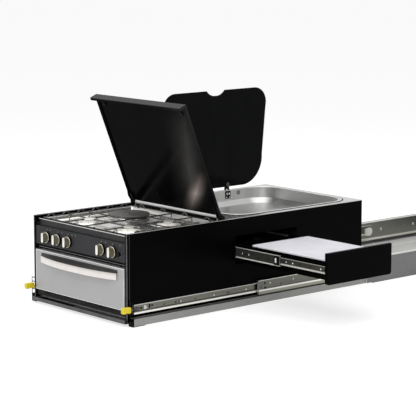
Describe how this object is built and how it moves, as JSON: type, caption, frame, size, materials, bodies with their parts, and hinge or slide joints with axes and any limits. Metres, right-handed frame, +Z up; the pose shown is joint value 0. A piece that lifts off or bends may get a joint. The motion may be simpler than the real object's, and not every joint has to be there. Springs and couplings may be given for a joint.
{
  "type": "slide-out kitchen",
  "caption": "Long low kitchen unit on floor slides: cooker with hob and oven, glass-lidded sink, side drawer with a board, both lids open.",
  "frame": {"origin": "centre of the cradle's four bolt holes, on the floor face", "axes": "+Z up, +Y from the cooker's face back into the vehicle, +X to the drawer's side"},
  "size_m": [1.026, 2.336, 0.7307],
  "materials": {
    "cradle_black": "gloss powder coat",
    "slide_zinc": "zinc plated",
    "channel_zinc": "galvanised",
    "retainer_plastic": "matte",
    "bumper_plastic": "matte",
    "rubber_black": "matte",
    "body_black": "gloss powder coat",
    "inner_sheet": "satin powder coat",
    "stainless": "brushed stainless",
    "casing_zinc": "galvanised",
    "controls_enamel": "satin enamel",
    "enamel_dark": "vitreous enamel",
    "chrome_wire": "plated",
    "burner_aluminium": "cast",
    "hotplate_iron": "seasoned",
    "support_enamel": "enamel",
    "brass": "turned",
    "hinge_steel": "satin",
    "drain_steel": "brushed stainless",
    "smoked_glass": "polished",
    "door_aluminium": "brushed",
    "handle_aluminium": "satin",
    "knob_metal": "metallised",
    "button_black": "matte",
    "board_plastic": "satin",
    "lever_yellow": "satin"
  },
  "bodies": {
    "cradle": {"cradle_floor": "cradle_black", "cradle_rail_left": "cradle_black", "cradle_rail_right": "cradle_black", "cradle_crossmember": "cradle_black", "outer_slide_left": "slide_zinc", "outer_slide_right": "slide_zinc", "end_bumpers": "rubber_black"},
    "middle_slides": {"middle_slide_left": "slide_zinc", "middle_slide_right": "slide_zinc", "ball_retainers": "retainer_plastic", "middle_slide_caps": "bumper_plastic"},
    "kitchen": {"inner_slide_left": "slide_zinc", "inner_slide_right": "slide_zinc", "base_channel_left": "channel_zinc", "base_channel_right": "channel_zinc", "front_brackets": "body_black", "front_feet": "rubber_black", "front_bar": "body_black", "vent_plinth": "body_black", "side_panel_left": "body_black", "side_panel_right": "body_black", "rear_panel": "inner_sheet", "base_tray": "inner_sheet", "bay_bulkheads": "inner_sheet", "worktop": "stainless", "sink_bowl": "stainless", "sink_drain": "drain_steel", "cooker_casing": "casing_zinc", "control_panel": "controls_enamel", "oven_liner": "enamel_dark", "oven_shelf": "chrome_wire", "oven_burner": "casing_zinc", "hob_frame": "body_black", "hob_tray": "stainless", "gas_burners": "burner_aluminium", "hotplate": "hotplate_iron", "pan_support": "support_enamel", "gas_manifold": "brass", "lid_hinge_brackets": "hinge_steel", "glass_hinge_blocks": "hinge_steel", "drawer_outer_slides": "slide_zinc"},
    "hob_lid": {"hob_lid": "body_black", "lid_knuckles": "hinge_steel"},
    "glass_lid": {"glass_lid": "smoked_glass", "glass_clamps": "hinge_steel"},
    "oven_door": {"oven_door": "door_aluminium", "door_handle": "handle_aluminium"},
    "knob_1": {"knob_1": "knob_metal"},
    "knob_2": {"knob_2": "knob_metal"},
    "knob_3": {"knob_3": "knob_metal"},
    "knob_4": {"knob_4": "knob_metal"},
    "knob_5": {"knob_5": "knob_metal"},
    "igniter_button": {"igniter_button": "button_black"},
    "drawer_middle": {"drawer_middle_slides": "slide_zinc"},
    "drawer": {"drawer_box": "body_black", "drawer_front": "body_black", "drawer_inner_slides": "slide_zinc"},
    "prep_board": {"prep_board": "board_plastic"},
    "lock_lever_left": {"lock_lever_left": "lever_yellow"},
    "lock_lever_right": {"lock_lever_right": "lever_yellow"}
  },
  "joints": [
    {"name": "middle_slide", "type": "slide", "parent": "cradle", "child": "middle_slides", "axis": [0, 1, 0], "range_m": [0, 0.565]},
    {"name": "kitchen_slide", "type": "slide", "parent": "cradle", "child": "kitchen", "axis": [0, 1, 0], "range_m": [0, 1.13]},
    {"name": "hob_lid_hinge", "type": "hinge", "parent": "kitchen", "child": "hob_lid", "pos_m": [0, -1.287, 0.322], "axis": [1, 0, 0], "range_deg": [-27, 68]},
    {"name": "glass_lid_hinge", "type": "hinge", "parent": "kitchen", "child": "glass_lid", "pos_m": [-0.238, -0.89, 0.327], "axis": [0, 1, 0], "range_deg": [0, 90]},
    {"name": "oven_door_hinge", "type": "hinge", "parent": "kitchen", "child": "oven_door", "pos_m": [0, -1.725, 0.055], "axis": [1, 0, 0], "range_deg": [0, 90]},
    {"name": "knob_1_turn", "type": "hinge", "parent": "kitchen", "child": "knob_1", "pos_m": [-0.187, -1.727, 0.2455], "axis": [0, -1, 0], "range_deg": [0, 220]},
    {"name": "knob_2_turn", "type": "hinge", "parent": "kitchen", "child": "knob_2", "pos_m": [-0.124, -1.727, 0.2455], "axis": [0, -1, 0], "range_deg": [0, 220]},
    {"name": "knob_3_turn", "type": "hinge", "parent": "kitchen", "child": "knob_3", "pos_m": [-0.061, -1.727, 0.2455], "axis": [0, -1, 0], "range_deg": [0, 220]},
    {"name": "knob_4_turn", "type": "hinge", "parent": "kitchen", "child": "knob_4", "pos_m": [0.127, -1.727, 0.2455], "axis": [0, -1, 0], "range_deg": [0, 220]},
    {"name": "knob_5_turn", "type": "hinge", "parent": "kitchen", "child": "knob_5", "pos_m": [0.19, -1.727, 0.2455], "axis": [0, -1, 0], "range_deg": [0, 220]},
    {"name": "igniter_press", "type": "slide", "parent": "kitchen", "child": "igniter_button", "axis": [0, 1, 0], "range_m": [0, 0.003], "stiffness_N_per_m": 500, "springref_m": -0.002},
    {"name": "drawer_middle_slide", "type": "slide", "parent": "kitchen", "child": "drawer_middle", "axis": [-1, 0, 0], "range_m": [0, 0.225]},
    {"name": "drawer_slide", "type": "slide", "parent": "kitchen", "child": "drawer", "axis": [-1, 0, 0], "range_m": [0, 0.45]},
    {"name": "board_lift", "type": "slide", "parent": "drawer", "child": "prep_board", "axis": [0, 0, 1], "range_m": [0, 0.02]},
    {"name": "lock_left_turn", "type": "hinge", "parent": "kitchen", "child": "lock_lever_left", "pos_m": [-0.27, -1.687, 0.0555], "axis": [-1, 0, 0], "range_deg": [0, 10], "stiffness_Nm_per_rad": 0.6, "springref_deg": -8.59},
    {"name": "lock_right_turn", "type": "hinge", "parent": "kitchen", "child": "lock_lever_right", "pos_m": [0.27, -1.687, 0.0555], "axis": [-1, 0, 0], "range_deg": [0, 10], "stiffness_Nm_per_rad": 0.6, "springref_deg": -8.59}
  ],
  "couplings": [
    {"joint": "middle_slide", "follows": "kitchen_slide", "ratio": 0.5},
    {"joint": "drawer_middle_slide", "follows": "drawer_slide", "ratio": 0.5}
  ]
}
